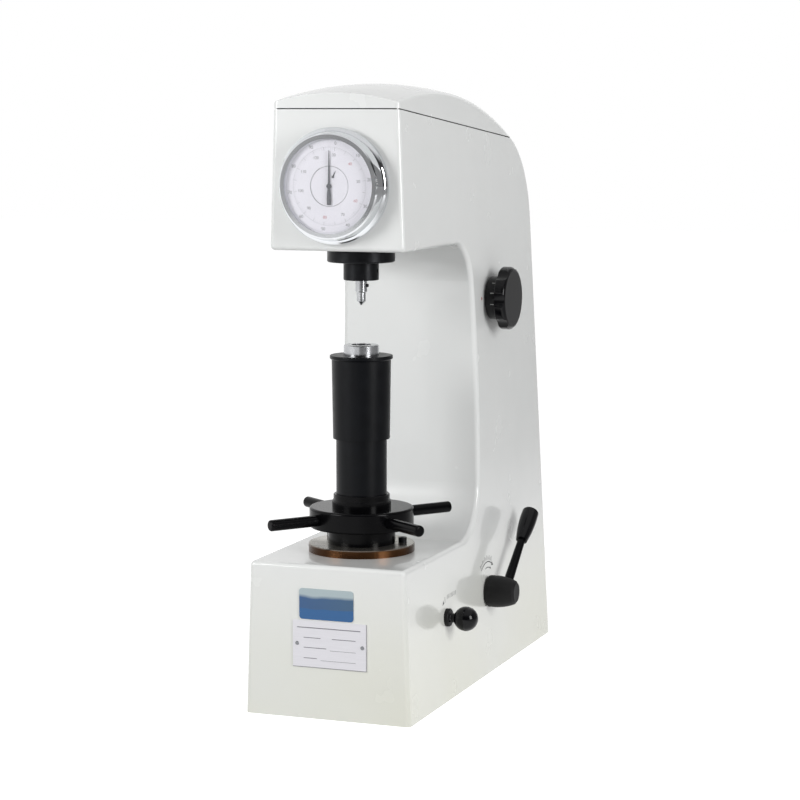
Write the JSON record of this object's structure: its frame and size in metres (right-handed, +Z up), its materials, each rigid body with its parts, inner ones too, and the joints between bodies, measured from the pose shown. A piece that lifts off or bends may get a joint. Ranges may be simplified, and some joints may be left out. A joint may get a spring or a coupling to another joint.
{
  "type": "hardness tester",
  "caption": "Bench hardness tester: C-shaped casting with vaulted cover, dial gauge, indenter spindle, handwheel and screw with sleeves, load selector, latch and unloading lever.",
  "frame": {"origin": "on the bench plane, on the symmetry plane of the frame, in the middle of the base's depth", "axes": "+X to the operator's right (the side with the controls), -Y towards the operator, +Z up"},
  "size_m": [0.2063, 0.4668, 0.6234],
  "materials": {
    "white_enamel": "gloss white enamel over filled cast iron",
    "black_enamel": "gloss black enamel",
    "black_sleeve": "semi-matt black stove enamel on steel tube",
    "black_oxide": "black oxide finish, lightly oiled",
    "bright_steel": "ground and polished steel",
    "machined_steel": "machined steel, lightly oiled",
    "cast_weights": "painted cast iron",
    "bronze": "turned bearing bronze",
    "brown_ring": "turned bronze, browned rim and bright face",
    "chrome_bezel": "polished chrome plate",
    "dial_enamel": "satin white dial with fine printed scale",
    "pointer_black": "blued steel pointer",
    "gauge_glass": "clear flat dial glass",
    "black_phenolic": "moulded black phenolic, polished",
    "matte_black_plastic": "moulded black nylon, fine matt grain",
    "plate_aluminium": "satin anodised aluminium plate with ruled lines",
    "badge_blue": "plain blue enamelled label plate",
    "zinc_screws": "zinc plated screws"
  },
  "bodies": {
    "frame": {"frame_casting": "white_enamel", "top_cover": "white_enamel", "rear_cover": "white_enamel", "rear_cover_screws": "zinc_screws", "nameplate": "plate_aluminium", "nameplate_rivets": "zinc_screws", "badge_plate": "badge_blue", "base_ring": "brown_ring", "ring_screws": "black_oxide", "guide_bush": "bronze", "guide_key": "machined_steel", "bearing_housing": "black_enamel", "thrust_bearing": "bright_steel", "spindle_housing": "black_oxide", "housing_screw": "black_oxide", "spindle_bush": "bronze", "spring_cap": "machined_steel", "spindle_spring": "machined_steel", "dial_case": "black_oxide", "dial_centre": "dial_enamel", "gauge_body": "machined_steel", "fulcrum_blocks": "machined_steel", "damper_cylinder": "machined_steel", "side_bushes": "bronze", "fork_guides": "machined_steel", "latch_collar": "matte_black_plastic"},
    "handwheel": {"handwheel": "black_enamel", "handwheel_bars": "black_enamel", "lead_nut": "bronze", "lower_sleeve": "black_sleeve"},
    "screw": {"elevating_screw": "bright_steel", "upper_sleeve": "black_sleeve"},
    "spindle": {"spindle": "bright_steel", "indenter": "bright_steel", "indenter_screw": "black_oxide"},
    "bezel": {"bezel": "chrome_bezel", "dial_plate": "dial_enamel", "dial_glass": "gauge_glass"},
    "long_pointer": {"long_pointer": "pointer_black"},
    "short_pointer": {"short_pointer": "pointer_black"},
    "gauge_lever": {"gauge_lever": "machined_steel"},
    "main_lever": {"main_lever": "machined_steel"},
    "hanger": {"weight_hanger": "machined_steel", "weight_a": "cast_weights", "weight_b": "cast_weights", "weight_c": "cast_weights"},
    "lift_rod": {"lift_rod": "machined_steel"},
    "unload_lever": {"unload_hub": "matte_black_plastic", "unload_rod": "black_enamel", "unload_grip": "black_phenolic", "unload_shaft": "machined_steel", "lift_cam": "machined_steel"},
    "selector": {"selector_knob": "black_phenolic", "selector_skirt": "black_phenolic", "selector_shaft": "machined_steel", "selector_cam": "machined_steel"},
    "selector_fork": {"selector_fork": "machined_steel"},
    "load_latch": {"load_ball": "black_phenolic", "load_stem": "machined_steel"}
  },
  "joints": [
    {"name": "handwheel_turn", "type": "hinge", "parent": "frame", "child": "handwheel", "pos_m": [0, -0.1369, 0.1886], "axis": [0, 0, 1], "range_deg": [-2280, 3240]},
    {"name": "screw_rise", "type": "slide", "parent": "frame", "child": "screw", "axis": [0, 0, 1], "range_m": [-0.05401, 0.03801]},
    {"name": "bezel_turn", "type": "hinge", "parent": "frame", "child": "bezel", "pos_m": [0, -0.2044, 0.5242], "axis": [0, 1, 0], "continuous": true},
    {"name": "spindle_rise", "type": "slide", "parent": "frame", "child": "spindle", "axis": [0, 0, 1], "range_m": [0, 0.0006], "deforming": ["spindle_spring"]},
    {"name": "pointer_turn", "type": "hinge", "parent": "frame", "child": "long_pointer", "pos_m": [0, -0.2044, 0.5242], "axis": [0, 1, 0], "range_deg": [0, 1081]},
    {"name": "counter_turn", "type": "hinge", "parent": "frame", "child": "short_pointer", "pos_m": [0.0038, -0.2044, 0.5332], "axis": [0, 1, 0], "range_deg": [0, 108.2]},
    {"name": "gauge_rock", "type": "hinge", "parent": "frame", "child": "gauge_lever", "pos_m": [0, -0.1722, 0.508], "axis": [1, 0, 0], "range_deg": [0, 1.25]},
    {"name": "unload_swing", "type": "hinge", "parent": "frame", "child": "unload_lever", "pos_m": [0, 0.0163, 0.0885], "axis": [1, 0, 0], "range_deg": [0, 70]},
    {"name": "main_lever_tilt", "type": "hinge", "parent": "frame", "child": "main_lever", "pos_m": [0, -0.1609, 0.545], "axis": [1, 0, 0], "range_deg": [-1.54, 0]},
    {"name": "hanger_drop", "type": "slide", "parent": "frame", "child": "hanger", "axis": [0, 0, 1], "range_m": [-0.00751, 0]},
    {"name": "lift_rod_drop", "type": "slide", "parent": "frame", "child": "lift_rod", "axis": [0, 0, 1], "range_m": [-0.00512, 0]},
    {"name": "selector_turn", "type": "hinge", "parent": "frame", "child": "selector", "pos_m": [0, 0.055, 0.3983], "axis": [1, 0, 0], "range_deg": [0, 120]},
    {"name": "fork_lift", "type": "slide", "parent": "frame", "child": "selector_fork", "axis": [0, 0, 1], "range_m": [0, 0.00601]},
    {"name": "latch_swing", "type": "hinge", "parent": "frame", "child": "load_latch", "pos_m": [0.082, -0.1158, 0.086], "axis": [0, 0, -1], "range_deg": [0, 12]}
  ],
  "couplings": [
    {"joint": "screw_rise", "follows": "handwheel_turn", "m_per_rad": -0.00095493},
    {"joint": "pointer_turn", "follows": "spindle_rise", "rad_per_m": 31416},
    {"joint": "counter_turn", "follows": "spindle_rise", "rad_per_m": 3141.6},
    {"joint": "gauge_rock", "follows": "spindle_rise", "rad_per_m": 35.714},
    {"joint": "main_lever_tilt", "follows": "unload_swing", "ratio": -0.022011},
    {"joint": "hanger_drop", "follows": "unload_swing", "m_per_rad": -0.0061388},
    {"joint": "lift_rod_drop", "follows": "unload_swing", "m_per_rad": -0.0041799},
    {"joint": "fork_lift", "follows": "selector_turn", "m_per_rad": 0.0028648}
  ]
}
